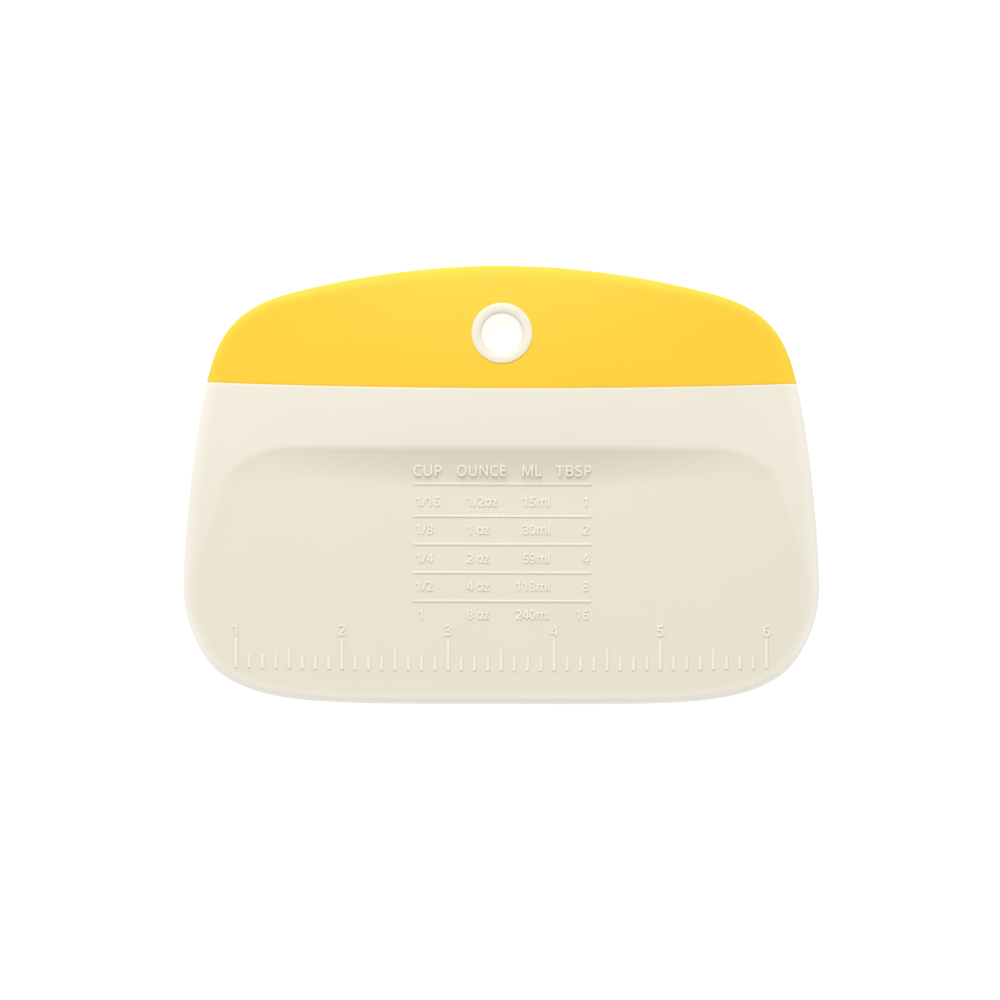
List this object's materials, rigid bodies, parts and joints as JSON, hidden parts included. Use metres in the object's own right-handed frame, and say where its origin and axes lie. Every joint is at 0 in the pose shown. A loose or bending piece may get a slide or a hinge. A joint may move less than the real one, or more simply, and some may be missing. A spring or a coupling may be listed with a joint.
{
  "type": "bench scraper",
  "caption": "Stiff moulded blade with a scooped face, a raised inch ruler and a conversion table, and a soft grip moulded over its top with a collared hang hole.",
  "frame": {"origin": "middle of the width and height, on the plane of the flat back", "axes": "+X across the blade, +Y from the scraping edge to the top of the grip, +Z out of the front face"},
  "size_m": [0.1524, 0.105, 0.0081],
  "materials": {
    "blade": "cream moulded polypropylene with a fine satin grain",
    "grip": "yellow thermoplastic elastomer, matt and soft to the touch"
  },
  "bodies": {
    "root": {"blade_core": "blade", "soft_grip": "grip"}
  },
  "joints": []
}
